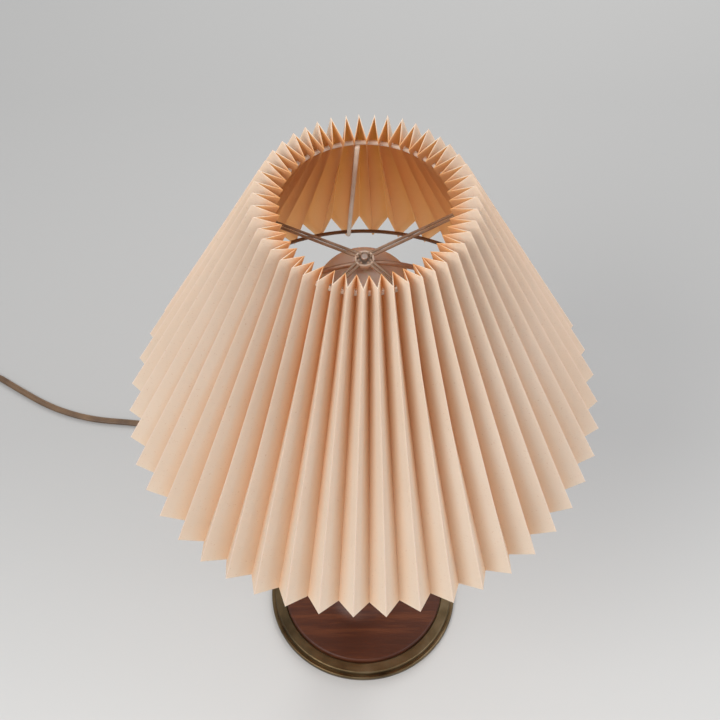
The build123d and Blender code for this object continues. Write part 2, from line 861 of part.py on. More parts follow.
def cord_coil():
    """Level half turns are revolved; the one that climbs is swept. They fuse to one tube."""
    nodes = coil_nodes()
    coil = Part()
    for (start, low), (end, high) in zip(nodes, nodes[1:]):
        section = coil_section(start, low)
        if low == high:
            middle = (coil_centre[0], coil_centre[1] + (start + end) / 2, low)
            turn = revolve(section, Axis(middle, (0, 0, -1)), 180)
        else:
            turn = sweep([section, coil_section(end, high)], coil_arc(start, low, end, high),
                         multisection=True)
        coil += turn
    return coil


def least_coil_gap(path, samples=900):
    """Smallest free space between neighbouring turns, from points along the path."""
    points = [path @ (index / samples) for index in range(samples + 1)]
    step = path.length / samples
    skip = int(2.2 * cord_width / step) + 1
    least = 1e9
    for index, here in enumerate(points):
        for other in points[index + skip:]:
            level = hypot(here.X - other.X, here.Y - other.Y) - cord_width
            upright = abs(here.Z - other.Z) - cord_thickness
            least = min(least, max(level, upright))
    return least


def coil_end():
    end, height = coil_nodes()[-1]
    return Vector(coil_centre[0], coil_centre[1] + end, height)


def free_cord_path():
    tip = cord_plane(foot_radius + relief_length).origin
    table = cord_thickness / 2 + table_gap
    high = coil_lift + cord_thickness / 2
    points = [tuple(tip), (*cord_route[0], cord_height_in_foot)]
    points += [(x, y, table) for x, y in cord_route[1:-1]]
    points.append((*cord_route[-1], high))
    points.append((coil_centre[0] + end_gap, coil_centre[1] - coil_start_radius, high))
    return smooth_route(points)


def tail_path():
    start = coil_end()
    return smooth_route([(start.X - end_gap, start.Y, start.Z)] + list(tail_route))


def coil_tie():
    """Paper strip wrapped once round the bundle, on the side away from the lamp."""
    radii = [abs(y) for y, _ in coil_nodes()]
    inside = min(radii) - cord_width / 2 - tie_gap
    outside = max(radii) + cord_width / 2 + tie_gap
    low = coil_lift - tie_gap
    high = coil_lift + cord_thickness + coil_layer + tie_gap
    middle = (inside + outside) / 2
    outer = Rectangle(outside - inside + 2 * tie_thickness, high - low + 2 * tie_thickness)
    inner = Rectangle(outside - inside, high - low)
    band = Plane.XZ * (outer - inner)
    band = extrude(band, tie_width / 2, both=True)
    return Pos(coil_centre[0] - middle, coil_centre[1], (low + high) / 2) * band


def plug_plane():
    """Plane at the cord end of the plug's sleeve; local z points along the blades."""
    path = tail_path()
    out = path % 1
    out = Vector(out.X, out.Y, 0).normalized()
    return Plane(path @ 1, x_dir=Vector(-out.Y, out.X, 0), z_dir=out)


def plug_body():
    """Moulded flat plug with its tapered sleeve."""
    tip = SlotOverall(cord_width + 1.2, cord_thickness + 1.2)
    root = SlotOverall(cord_width + 4.0, cord_thickness + 3.0)
    sleeve = loft([tip, Pos(0, 0, plug_relief_length) * root])
    back = RectangleRounded(plug_nose_width, plug_thickness - 4.0, 4.0)
    belly = RectangleRounded(plug_width, plug_thickness, 5.0)
    body = loft([Pos(0, 0, plug_relief_length - 0.01) * back, Pos(0, 0, plug_relief_length + 9) * belly])
    body += Pos(0, 0, plug_relief_length + 9) * extrude(belly, plug_length - 9)
    return plug_plane() * (sleeve + body - blades())


def blades():
    blade = Box(blade_thickness, blade_height, blade_length + 8.0,
                align=(Align.CENTER, Align.CENTER, Align.MIN))
    root = plug_relief_length + plug_length - 8.0
    return [Pos(side * blade_spacing / 2, 0, root) * blade for side in (-1, 1)]


def plug_blades():
    return [plug_plane() * blade for blade in blades()]


# ---------------------------------------------------------------- build
def build_all():
    parts = {
        "felt_pad": felt_pad(),
        "foot_shell": foot_shell(),
        "ballast": ballast(),
        "foot_screws": foot_screws_at(foot_screw_radius, 0),
        "teak_plinth": teak_plinth(),
        "teak_column": teak_column(),
        "threaded_rod": threaded_rod(),
        "rod_nut": rod_nut(),
        "rod_washer": rod_washer(),
        "column_cap": column_cap(),
        "harp_saddle": harp_saddle(),
        "harp_bow": harp_bow(),
        "harp_sleeves": harp_sleeves(),
        "shade_stud": shade_stud(),
        "holder_base": holder_base(),
        "holder_shell": holder_shell(),
        "holder_insert": holder_insert(),
        "terminal_screws": terminals_at(terminal_radius),
        "screw_shell": screw_shell(),
        "centre_contact": centre_contact(),
        "switch_knob": switch_knob(),
        "switch_spindle": switch_spindle(),
        "bulb_glass": bulb_glass(),
        "bulb_cap": bulb_cap(),
        "bulb_insulator": bulb_insulator(),
        "bulb_contact": bulb_contact(),
        "pleated_shade": pleated_shade(),
        "top_ring": frame_ring(True),
        "bottom_ring": frame_ring(False),
        "hub_ring": hub_ring(),
        "cord_relief": cord_relief(),
        "cord_in_foot": cord_in_foot(),
        "cord_cores": cord_cores(),
        "cord": flat_cord(free_cord_path()),
        "cord_coil": cord_coil(),
        "cord_tail": flat_cord(tail_path()),
        "coil_tie": coil_tie(),
        "plug_body": plug_body(),
        "plug_blades": plug_blades(),
    }
    for number, azimuth in enumerate(arm_azimuths, 1):
        parts[f"hub_arm_{number}"] = hub_arm(azimuth)
    for number, azimuth in enumerate(arm_azimuths + plain_strut_azimuths, 1):
        parts[f"frame_strut_{number}"] = frame_strut(azimuth)
    return parts


def solids_of(shape):
    """All solids of a shape or a list of shapes."""
    if isinstance(shape, (list, tuple)):
        return [solid for item in shape for solid in solids_of(item)]
    return list(shape.solids())


os.makedirs("parts", exist_ok=True)
for name, shape in build_all().items():
    solids = solids_of(shape)
    export_step(solids[0] if len(solids) == 1 else Compound(children=solids), f"parts/{name}.step")

cord_area = SlotOverall(cord_width, cord_thickness).area
lengths = {
    "cord": (flat_cord(free_cord_path()), free_cord_path()),
    "coil": (cord_coil(), coil_path()),
    "tail": (flat_cord(tail_path()), tail_path()),
}
for title, (shape, path) in lengths.items():
    volume = sum(solid.volume for solid in solids_of(shape))
    print(title, "length", round(path.length, 1), "volume over section x length",
          round(volume / (cord_area * path.length), 4))
print("coil's least gap", round(least_coil_gap(coil_path()), 2))
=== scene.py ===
from math import atan2, cos, pi, radians, sin, sqrt, tan
from random import Random

import bmesh
import bpy
from mathutils import Matrix, Vector


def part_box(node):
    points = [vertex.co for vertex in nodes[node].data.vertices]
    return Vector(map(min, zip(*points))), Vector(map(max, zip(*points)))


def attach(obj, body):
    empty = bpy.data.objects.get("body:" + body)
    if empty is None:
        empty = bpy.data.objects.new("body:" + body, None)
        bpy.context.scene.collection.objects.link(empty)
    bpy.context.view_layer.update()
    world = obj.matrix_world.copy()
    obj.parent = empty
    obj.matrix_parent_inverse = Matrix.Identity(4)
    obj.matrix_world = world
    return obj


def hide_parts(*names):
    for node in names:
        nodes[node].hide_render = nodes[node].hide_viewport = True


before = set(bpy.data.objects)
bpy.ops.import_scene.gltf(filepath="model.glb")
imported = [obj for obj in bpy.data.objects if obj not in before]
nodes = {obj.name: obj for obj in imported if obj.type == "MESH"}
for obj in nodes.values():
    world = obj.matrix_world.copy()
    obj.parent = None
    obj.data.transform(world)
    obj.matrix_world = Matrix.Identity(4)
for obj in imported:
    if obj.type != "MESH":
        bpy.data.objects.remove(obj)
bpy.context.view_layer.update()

# ------------------------------------------------------------------ camera
# A long lens 0.88 m from the shade and 57 degrees above the table. It stands straight in
# front of the lamp and looks down past the shade at the foot.
camera_place = Vector((-0.0025, -0.4788, 1.0949))
camera_target = Vector((-0.0025, 0.0, 0.3533))
camera_data = bpy.data.cameras.new("camera")
camera_data.lens = 71.8
camera_data.sensor_width = 36.0
camera_data.sensor_fit = "HORIZONTAL"
camera_data.clip_start = 0.05
camera = bpy.data.objects.new("camera", camera_data)
bpy.context.collection.objects.link(camera)
camera.location = camera_place
camera.rotation_euler = (camera_target - camera_place).to_track_quat("-Z", "Y").to_euler()
bpy.context.scene.camera = camera
bpy.context.scene.view_settings.view_transform = "Standard"


# ------------------------------------------------------------------ cord
# The mains lead of a table lamp: two cores side by side in soft brown vinyl, 1.8 m from the
# foot to the plug. It leaves the foot at the back left, wanders over the table, and the rest
# lies in a coil held by a paper strip, outside the picture.
def linear(code):
    """An sRGB hex colour as the linear values that the shaders take."""
    channels = [int(code[at:at + 2], 16) / 255 for at in (1, 3, 5)]
    return [c / 12.92 if c <= 0.04045 else ((c + 0.055) / 1.055) ** 2.4
            for c in channels] + [1.0]


def add(tree, kind, inputs=None, feeds=None, stops=(), **settings):
    """Adds a node. An input is a value or another node's socket, feeds gives the sockets that
    its outputs go to, and stops are a ramp's places and hex colours."""
    new = tree.nodes.new(kind)
    for name, setting in settings.items():
        setattr(new, name, setting)
    for name, given in (inputs or {}).items():
        if isinstance(given, bpy.types.NodeSocket):
            tree.links.new(given, new.inputs[name])
        else:
            new.inputs[name].default_value = given
    for name, target in (feeds or {}).items():
        tree.links.new(new.outputs[name], target)
    if stops:
        elements = new.color_ramp.elements
        while len(elements) < len(stops):
            elements.new(0.5)
        for element, (position, code) in zip(elements, stops):
            element.position = position
            element.color = linear(code)
    return new


def material(name, colour, roughness, metallic=0.0):
    """A new material with its shader; returns the material, its tree and the shader's inputs."""
    made = bpy.data.materials.new(name)
    made.use_nodes = True
    made.diffuse_color = linear(colour)
    finish = made.node_tree.nodes["Principled BSDF"].inputs
    finish["Base Color"].default_value = linear(colour)
    finish["Roughness"].default_value = roughness
    finish["Metallic"].default_value = metallic
    return made, made.node_tree, finish


def grain(tree, per_metre, detail=4.0, stretch=(1, 1, 1)):
    """An uneven pattern on Object coordinates, with this many repeats in a metre."""
    place = add(tree, "ShaderNodeTexCoord")
    mapped = add(tree, "ShaderNodeMapping", {"Vector": place.outputs["Object"], "Scale": stretch})
    noise = add(tree, "ShaderNodeTexNoise",
                {"Vector": mapped.outputs["Vector"], "Scale": per_metre, "Detail": detail})
    return noise.outputs["Fac"]


def dress(node, finish):
    """A CAD node takes this material in place of its own."""
    slots = nodes[node].data.materials
    slots.clear()
    slots.append(finish)


def settle(piece, body, slot, *replaced):
    """Links a finished piece, lets it ride on a body and hides the nodes that it stands for."""
    bpy.context.collection.objects.link(piece)
    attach(piece, body)
    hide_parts(*replaced)


def millimetres(*values):
    return tuple(value / 1000 for value in values)


cord_width = 0.0056
cord_thickness = 0.0028
cord_azimuth = radians(125.0)
cord_exit_radius = 0.0965
cord_exit_height = 0.0040
table_gap = 0.00006
coil_centre = millimetres(-400.0, 261.0)
coil_entry_x = -0.367
coil_start_radius = 0.044
coil_pitch = 0.0062
coil_lift = 0.0009
coil_layer = 0.0034
turns_in = 6
turns_out = 5
points_per_turn = 8

cord_exit = (cord_exit_radius * cos(cord_azimuth), cord_exit_radius * sin(cord_azimuth),
             cord_exit_height)
table_height = cord_thickness / 2 + table_gap
coil_low = coil_lift + cord_thickness / 2
coil_high = coil_low + coil_layer

cord_points = [Vector(cord_exit), Vector(millimetres(-70.0, 100.0, 4.0))]
for x, y in ((-92.0, 124.0), (-126.0, 145.0), (-163.0, 155.5), (-200.0, 161.2),
             (-240.0, 164.5), (-276.0, 176.5), (-308.0, 196.0), (-335.0, 214.0)):
    cord_points.append(Vector((*millimetres(x, y), table_height)))
cord_points.append(Vector((coil_entry_x, coil_centre[1] - coil_start_radius, coil_low)))

# the coil's half turns: in over six, up and in over the seventh, out over the rest
turn_ends = [(-coil_start_radius, coil_low)]
radius = coil_start_radius
for turn in range(turns_in):
    radius -= coil_pitch / 2
    turn_ends.append((radius if turn % 2 == 0 else -radius, coil_low))
radius -= coil_pitch / 2
turn_ends.append((radius, coil_high))
radius += 1.5 * coil_pitch
for turn in range(turns_out):
    turn_ends.append((-radius if turn % 2 == 0 else radius, coil_high))
    radius += coil_pitch / 2

# control points of a quadratic spline stand a little outside their arc
spread = 1 / cos(pi / points_per_turn / 2)
for (start, low), (end, high) in zip(turn_ends, turn_ends[1:]):
    middle = (start + end) / 2
    outside = spread * abs(start - end) / 2
    side = -1 if start < 0 else 1
    for step in range(points_per_turn):
        share = (step + 0.5) / points_per_turn
        cord_points.append(Vector((
            coil_centre[0] + side * outside * sin(share * pi),
            coil_centre[1] + middle + side * outside * cos(share * pi),
            low + share * (high - low),
        )))
last_turn, last_height = turn_ends[-1]
cord_points.append(Vector((coil_centre[0], coil_centre[1] + last_turn, last_height)))
for towards_plug in ((-424.0, 217.0, 5.7), (-448.0, 211.0, 8.2), (-471.0, 203.5, 8.2)):
    cord_points.append(Vector(millimetres(*towards_plug)))


def cord_section():
    """Outline of the flat cord: two round cores with a groove between them on both sides."""
    curve = bpy.data.curves.new("cord_section", "CURVE")
    curve.dimensions = "2D"
    core = cord_thickness / 2
    offset = cord_width / 2 - core
    facets = 8
    groove = ((0.30, 0.96), (0.0, 0.70), (-0.30, 0.96))
    outline = []
    for side in (1, -1):
        for step in range(facets + 1):
            angle = (step / facets - 0.5) * pi
            outline.append((side * (offset + core * cos(angle)), side * core * sin(angle)))
        for across, up in groove:
            outline.append((side * offset * across, side * core * up))
    spline = curve.splines.new("POLY")
    spline.points.add(len(outline) - 1)
    for point, (across, up) in zip(spline.points, outline):
        point.co = (across, up, 0, 1)
    spline.use_cyclic_u = True
    return bpy.data.objects.new("cord_section", curve)


cord_curve = bpy.data.curves.new("cord_route", "CURVE")
cord_curve.dimensions = "3D"
cord_spline = cord_curve.splines.new("NURBS")
cord_spline.points.add(len(cord_points) - 1)
for point, place in zip(cord_spline.points, cord_points):
    point.co = (*place, 1)
cord_spline.order_u = 3
cord_spline.use_endpoint_u = True
cord_curve.resolution_u = 6
cord_curve.twist_mode = "Z_UP"
cord_route = bpy.data.objects.new("cord_route", cord_curve)
section = cord_section()
for wanted in (cord_route, section):
    bpy.context.collection.objects.link(wanted)
cord_line = [vertex.co.copy() for vertex in bpy.data.meshes.new_from_object(cord_route).vertices]
cord_curve.bevel_mode = "OBJECT"
cord_curve.bevel_object = section
cord_curve.use_fill_caps = True
bent = cord_route.evaluated_get(bpy.context.evaluated_depsgraph_get())
cord_data = bpy.data.meshes.new_from_object(bent)
cord_data.name = "cord_free"
cord = bpy.data.objects.new("cord_free", cord_data)
for unused in (cord_route, section):
    bpy.data.objects.remove(unused)

# extruded vinyl: brown with a soft sheen, smears 17 mm wide and a fine matt skin
vinyl, tree, finish = material("brown_extruded_vinyl", "#6b5138", 0.42)
add(tree, "ShaderNodeValToRGB", {"Fac": grain(tree, 60.0, 3.0)},
    {"Color": finish["Base Color"]}, ((0.3, "#5a4330"), (0.7, "#7c6044")))
add(tree, "ShaderNodeBump", {"Height": grain(tree, 900.0, 2.0), "Distance": 0.00008},
    {"Normal": finish["Normal"]})
cord_data.materials.clear()
cord_data.materials.append(vinyl)
cord_data.polygons.foreach_set("use_smooth", [True] * len(cord_data.polygons))
settle(cord, "stand", "cord_plastic", "cord", "cord_coil", "cord_tail")
for name in ("cord_relief", "cord_in_foot", "cord_cores", "plug_body"):
    dress(name, vinyl)

# kraft paper strip round the coil: dull pale brown, with flat fibres 2 mm long
kraft, tree, finish = material("kraft_paper", "#c3ab82", 0.85)
add(tree, "ShaderNodeValToRGB", {"Fac": grain(tree, 500.0, 5.0, (1, 1, 6))},
    {"Color": finish["Base Color"]}, ((0.35, "#ad9468"), (0.65, "#d0b98f")))
dress("coil_tie", kraft)

# ------------------------------------------------------------------ table and light
# A plain pale grey table under a wide soft light, as in a small photo studio. It is darker
# towards the back, where less light falls. Neither is part of the lamp.
table_half = 6.0
floor_mesh = bmesh.new()
bmesh.ops.create_grid(floor_mesh, x_segments=1, y_segments=1, size=table_half)
floor_data = bpy.data.meshes.new("table_top")
floor_mesh.to_mesh(floor_data)
floor_mesh.free()
floor = bpy.data.objects.new("table_top", floor_data)
bpy.context.collection.objects.link(floor)
floor_paper, tree, finish = material("grey_backdrop_paper", "#d6d6d5", 0.9)
place = add(tree, "ShaderNodeTexCoord")
split = add(tree, "ShaderNodeSeparateXYZ", {"Vector": place.outputs["Object"]})
depth = add(tree, "ShaderNodeMapRange",
            {"Value": split.outputs["Y"], "From Min": -0.25, "From Max": 0.55})
add(tree, "ShaderNodeValToRGB", {"Fac": depth.outputs["Result"]}, {"Color": finish["Base Color"]},
    ((0.0, "#dcdcda"), (0.5, "#bcbcbb"), (1.0, "#b0b0af")))
finish["Specular IOR Level"].default_value = 0.1
floor.data.materials.append(floor_paper)

world = bpy.data.worlds.new("studio")
world.use_nodes = True
sky = world.node_tree.nodes["Background"].inputs
sky["Color"].default_value = linear("#fbfcff")
sky["Strength"].default_value = 0.62
bpy.context.scene.world = world


def soft_light(name, place, target, size, power, colour):
    data = bpy.data.lights.new(name, "AREA")
    data.shape = "DISK"
    data.size = size
    data.energy = power
    data.color = linear(colour)[:3]
    light = bpy.data.objects.new(name, data)
    bpy.context.collection.objects.link(light)
    light.location = place
    light.rotation_euler = (Vector(target) - Vector(place)).to_track_quat("-Z", "Y").to_euler()


soft_light("key_light", (-0.9, -0.9, 1.7), (0, 0, 0.3), 1.0, 15.5, "#fffdfa")
soft_light("fill_light", (1.3, -0.6, 1.3), (0, 0, 0.3), 1.2, 7.0, "#fdfdff")
soft_light("back_light", (0.3, 1.3, 1.0), (0, 0, 0.4), 0.9, 10.0, "#fffefc")

# ------------------------------------------------------------------ plug and its blades
# The moulded two-pin plug on the end of the cord is one piece with the cord's vinyl, which is
# set above. Its blades are folded from brass strip and plated.

# plated brass: bright yellow, with fine rolling lines along the blade
blade_brass, tree, finish = material("plated_brass_blade", "#c9b072", 0.3, 1.0)
add(tree, "ShaderNodeBump", {"Height": grain(tree, 700.0, 2.0, (1, 1, 8)), "Distance": 0.00002},
    {"Normal": finish["Normal"]})
dress("plug_blades", blade_brass)

# ------------------------------------------------------------------ foot
# A spun brass pan with two steps, closed by a cast iron disc and felt, and screwed to the
# plinth. The column's cap and the harp's sleeves are of the same brass.

# aged brass under old lacquer: more brown than yellow, cloudy, with faint rings from the spinning
aged_brass, tree, finish = material("aged_lacquered_brass", "#5e4f3a", 0.34, 1.0)
cloud = grain(tree, 45.0, 5.0)
add(tree, "ShaderNodeValToRGB", {"Fac": cloud}, {"Color": finish["Base Color"]},
    ((0.30, "#504330"), (0.55, "#6e5d43"), (0.75, "#85745a")))
add(tree, "ShaderNodeMapRange", {"Value": cloud, "To Min": 0.24, "To Max": 0.45},
    {"Result": finish["Roughness"]})
add(tree, "ShaderNodeBump", {"Height": grain(tree, 120.0, 2.0, (1, 1, 30)), "Distance": 0.00005},
    {"Normal": finish["Normal"]})
for name in ("foot_shell", "column_cap", "harp_sleeves"):
    dress(name, aged_brass)

# woollen felt glued under the foot: dull and matt, with a nap of 1 mm in two browns
felt, tree, finish = material("woollen_felt", "#5b4a3c", 1.0)
nap = grain(tree, 900.0, 6.0)
add(tree, "ShaderNodeValToRGB", {"Fac": nap}, {"Color": finish["Base Color"]},
    ((0.3, "#483a2f"), (0.7, "#6b594a")))
add(tree, "ShaderNodeBump", {"Height": nap, "Distance": 0.0004}, {"Normal": finish["Normal"]})
finish["Sheen Weight"].default_value = 0.4
dress("felt_pad", felt)

# sand-cast iron disc inside the pan: near black and rough, with grit of 2 mm
cast_iron, tree, finish = material("sand_cast_iron", "#3a3836", 0.75, 0.6)
add(tree, "ShaderNodeBump", {"Height": grain(tree, 500.0), "Distance": 0.0003},
    {"Normal": finish["Normal"]})
dress("ballast", cast_iron)

# zinc-plated steel of the screws, rod, nut, washer and saddle: cool grey with 3 mm spangles
zinc, tree, finish = material("zinc_plated_steel", "#a7a9aa", 0.36, 1.0)
add(tree, "ShaderNodeValToRGB", {"Fac": grain(tree, 300.0, 2.0)},
    {"Color": finish["Base Color"]}, ((0.3, "#96989a"), (0.7, "#b6b8b8")))
for name in ("foot_screws", "threaded_rod", "rod_nut", "rod_washer", "harp_saddle"):
    dress(name, zinc)


# ------------------------------------------------------------------ turned teak
# Plinth and column are turned from solid teak, glued by a tenon and oiled. Teak is golden to
# red brown, with long dark streaks and short open pores along the grain.
def teak(name, turn):
    """Oiled teak with its grain along the axis that this turn brings upright."""
    light, middle, dark = "#5c2e15", "#48200d", "#361709"
    made, tree, finish = material(name, middle, 0.42)
    place = add(tree, "ShaderNodeTexCoord")
    lie = add(tree, "ShaderNodeMapping", {"Vector": place.outputs["Object"], "Rotation": turn})
    drawn = add(tree, "ShaderNodeMapping",
                {"Vector": lie.outputs["Vector"], "Scale": (1, 1, 0.06)})
    # streaks 2 mm wide lie in growth bands 9 mm wide, and both run 17 times as long
    streak = add(tree, "ShaderNodeTexNoise",
                 {"Vector": drawn.outputs["Vector"], "Scale": 520.0, "Detail": 6.0,
                  "Distortion": 0.4})
    band = add(tree, "ShaderNodeTexNoise",
               {"Vector": drawn.outputs["Vector"], "Scale": 110.0, "Detail": 3.0})
    both = add(tree, "ShaderNodeMath",
               {0: streak.outputs["Fac"], 1: 0.6, 2: band.outputs["Fac"]},
               operation="MULTIPLY_ADD")
    add(tree, "ShaderNodeValToRGB", {"Fac": both.outputs["Value"]},
        {"Color": finish["Base Color"]}, ((0.45, dark), (0.80, middle), (1.0, light)))
    # pores 0.7 mm wide and 6 mm long, drawn coarser than real ones so that they show
    pores = add(tree, "ShaderNodeMapping",
                {"Vector": lie.outputs["Vector"], "Scale": (1, 1, 0.12)})
    pore = add(tree, "ShaderNodeTexNoise",
               {"Vector": pores.outputs["Vector"], "Scale": 1400.0, "Detail": 1.0})
    add(tree, "ShaderNodeBump", {"Height": pore.outputs["Fac"], "Distance": 0.00012},
        {"Normal": finish["Normal"]})
    finish["Specular IOR Level"].default_value = 0.35
    finish["Coat Weight"].default_value = 0.06
    finish["Coat Roughness"].default_value = 0.35
    return made


dress("teak_plinth", teak("oiled_teak_plinth", (0, radians(90), radians(12))))
dress("teak_column", teak("oiled_teak_column", (0, 0, 0)))

# ------------------------------------------------------------------ harp
# A bow of brassed steel wire that stands on two pins of the saddle and bends round the bulb.
# A turned stud at its crown carries the hub ring of the shade.

# brassed steel: pale copper yellow, dulled by tarnish in patches of 8 mm
brassed, tree, finish = material("brassed_steel_wire", "#c2a187", 0.42, 0.6)
add(tree, "ShaderNodeValToRGB", {"Fac": grain(tree, 120.0, 3.0)},
    {"Color": finish["Base Color"]}, ((0.3, "#b0907a"), (0.7, "#d0b098")))
dress("harp_bow", brassed)

# satin nickel: a warm soft grey with no sharp highlight
nickel, tree, finish = material("satin_nickel_plate", "#cdbfb4", 0.4, 0.6)
add(tree, "ShaderNodeBump", {"Height": grain(tree, 900.0, 2.0), "Distance": 0.00002},
    {"Normal": finish["Normal"]})
dress("shade_stud", nickel)

# ------------------------------------------------------------------ lampholder
# Two moulded thermoset shells screwed together round a porcelain body, which carries the
# brass screw shell, the centre contact and the terminal screws.

# moulded thermoset: near black brown and glossy, with wide marks where the resin flowed
thermoset, tree, finish = material("moulded_thermoset", "#2a201b", 0.28)
add(tree, "ShaderNodeValToRGB", {"Fac": grain(tree, 35.0)},
    {"Color": finish["Base Color"]}, ((0.35, "#231a16"), (0.65, "#33271f")))
for name in ("holder_base", "holder_shell", "switch_knob"):
    dress(name, thermoset)

# glazed porcelain: off-white and wet-looking, a little uneven in tone
porcelain, tree, finish = material("glazed_porcelain", "#e6e1d6", 0.15)
add(tree, "ShaderNodeValToRGB", {"Fac": grain(tree, 80.0, 3.0)},
    {"Color": finish["Base Color"]}, ((0.3, "#dcd6ca"), (0.7, "#ece8de")))
dress("holder_insert", porcelain)

# stamped brass: clear yellow with a fine rolled skin
contact_brass, tree, finish = material("stamped_brass", "#c2a25a", 0.3, 1.0)
add(tree, "ShaderNodeBump", {"Height": grain(tree, 800.0, 2.0), "Distance": 0.00002},
    {"Normal": finish["Normal"]})
for name in ("terminal_screws", "screw_shell", "centre_contact", "switch_spindle", "bulb_cap"):
    dress(name, contact_brass)

# ------------------------------------------------------------------ bulb
# A round bulb of blown opal glass, cemented into a brass screw cap with a black glass
# insulator and a tinned tip.

# opal glass: warm white and softly glossy, with a little light spreading inside it
opal, tree, finish = material("opal_glass", "#f0dccb", 0.30)
add(tree, "ShaderNodeValToRGB", {"Fac": grain(tree, 30.0, 2.0)},
    {"Color": finish["Base Color"]}, ((0.3, "#ecd6c6"), (0.7, "#f4e4d6")))
finish["Subsurface Weight"].default_value = 0.4
finish["Subsurface Radius"].default_value = (0.004, 0.003, 0.002)
dress("bulb_glass", opal)

# pressed black glass: deep and mirror-like, faintly wavy
black_glass, tree, finish = material("black_glass", "#17161a", 0.1)
add(tree, "ShaderNodeBump", {"Height": grain(tree, 300.0, 2.0), "Distance": 0.00005},
    {"Normal": finish["Normal"]})
dress("bulb_insulator", black_glass)

# a drop of solder: dull silver, lumpy
tinned, tree, finish = material("tinned_tip", "#a9a9a6", 0.4, 1.0)
add(tree, "ShaderNodeBump", {"Height": grain(tree, 500.0, 3.0), "Distance": 0.0002},
    {"Normal": finish["Normal"]})
dress("bulb_contact", tinned)


# ------------------------------------------------------------------ wire frame of the shade
# Welded steel wire under thick cream enamel. The top ring runs through slots in the paper's
# inner folds, the bottom ring lies against them a little above their ends, and the struts are
# welded to the inside of both.
def enamelled(name, light, stained):
    """Dipped enamel: smooth and thick, stained by heat and age in patches of 17 mm."""
    made, tree, finish = material(name, light, 0.45)
    add(tree, "ShaderNodeValToRGB", {"Fac": grain(tree, 60.0)},
        {"Color": finish["Base Color"]}, ((0.3, stained), (0.7, light)))
    return made


# the bottom ring and the arms take darker copies of the cream enamel: painted shadow on the bottom
# ring and painted half shadow on the arms, which lie in shade inside the lampshade
cream_enamel = enamelled("cream_enamelled_wire", "#efdfcf", "#dcc5ae")
shadow_painted_enamel = enamelled("enamelled_wire_painted_shadow", "#8f6f54", "#71533b")
dim_painted_enamel = enamelled("enamelled_wire_painted_half_shadow", "#cbb5a0", "#a0866f")
dress("hub_ring", cream_enamel)
# the hub arms take the enamel darkened by painted half shadow
for number in range(1, 5):
    dress(f"hub_arm_{number}", dim_painted_enamel)
    dress(f"frame_strut_{number}", cream_enamel)

top_ring_radius = 0.0512
top_ring_height = 0.4952
bottom_ring_radius = 0.1300
bottom_ring_height = 0.3150
ring_wire = 0.0025
ring_wire_sides = 14
ring_steps = 160
strut_wire = 0.0028
strut_wire_sides = 16
strut_foot_radius = 0.1290
strut_foot_height = 0.3129
strut_head_inset = ring_wire / 2 + 0.0007
strut_head_drop = 0.0012
long_strut_azimuths = (94.6, 272.0)


def wire_piece(name, mesh, enamel, *replaced):
    data = bpy.data.meshes.new(name)
    mesh.to_mesh(data)
    mesh.free()
    data.polygons.foreach_set("use_smooth", [True] * len(data.polygons))
    data.materials.append(enamel)
    settle(bpy.data.objects.new(name, data), "shade", "frame_wire", *replaced)


for name, radius, height, enamel, node in (
    ("top_ring_wire", top_ring_radius, top_ring_height, cream_enamel, "top_ring"),
    # the bottom ring takes the enamel darkened by painted shadow
    ("bottom_ring_wire", bottom_ring_radius, bottom_ring_height, shadow_painted_enamel, "bottom_ring"),
):
    ring = bmesh.new()
    upright = Matrix.Translation((radius, 0, height)) @ Matrix.Rotation(pi / 2, 4, "X")
    bmesh.ops.create_circle(ring, segments=ring_wire_sides, radius=ring_wire / 2, matrix=upright)
    bmesh.ops.spin(ring, geom=ring.verts[:] + ring.edges[:], axis=(0, 0, 1), cent=(0, 0, 0),
                   angle=2 * pi, steps=ring_steps, use_merge=True)
    bmesh.ops.recalc_face_normals(ring, faces=ring.faces[:])
    wire_piece(name, ring, enamel, node)

struts = bmesh.new()
for azimuth in long_strut_azimuths:
    along = Vector((cos(radians(azimuth)), sin(radians(azimuth)), 0))
    foot = along * strut_foot_radius + Vector((0, 0, strut_foot_height))
    head = (along * (top_ring_radius - strut_head_inset)
            + Vector((0, 0, top_ring_height - strut_head_drop)))
    lean = (head - foot).to_track_quat("Z", "Y").to_matrix().to_4x4()
    bmesh.ops.create_cone(struts, cap_ends=True, segments=strut_wire_sides,
                          radius1=strut_wire / 2, radius2=strut_wire / 2,
                          depth=(head - foot).length,
                          matrix=Matrix.Translation((foot + head) / 2) @ lean)
wire_piece("long_struts", struts, cream_enamel, "frame_strut_5", "frame_strut_6")

# ------------------------------------------------------------------ pleated paper
# One long strip of stiff shade paper, scored and folded by hand into sharp pleats and closed
# into a cone, with slots in the inner folds for the top ring. The paper is pale peach with a
# fine laid rib, and glows orange where light goes through it and back between the folds.
pleat_count = 47
fold_count = 2 * pleat_count
pleat_width = 0.0146
paper_thickness = 0.0004
bottom_radius = 0.150
bottom_inner_radius = 0.1378
top_radius = 0.0588
shade_height = 0.202
paper_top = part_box("pleated_shade")[1][2]
front_fold = radians(-92.6)
top_twist = radians(1.4)
fold_lean = atan2(bottom_radius - top_radius, shade_height)
half_pitch = pi / pleat_count
top_slot = 0.0090
slot_half = 0.0018

# each fold strays a little from its place, as hand folding leaves it
top_stray = radians(0.5)
bottom_stray = radians(0.18)
pull_most = 0.00035
hand = Random(23)
unevenness = [[hand.uniform(-1, 1) for _ in range(4)] for _ in range(fold_count)]


def inner_fold_radius(outer):
    """How far from the axis the inner fold lies, for a face of one pleat's width."""
    fall = tan(fold_lean) ** 2
    middle = outer * (cos(half_pitch) + fall)
    rest = (1 + fall) * (outer ** 2 * (1 + fall) - pleat_width ** 2)
    return (middle - sqrt(middle ** 2 - rest)) / (1 + fall)


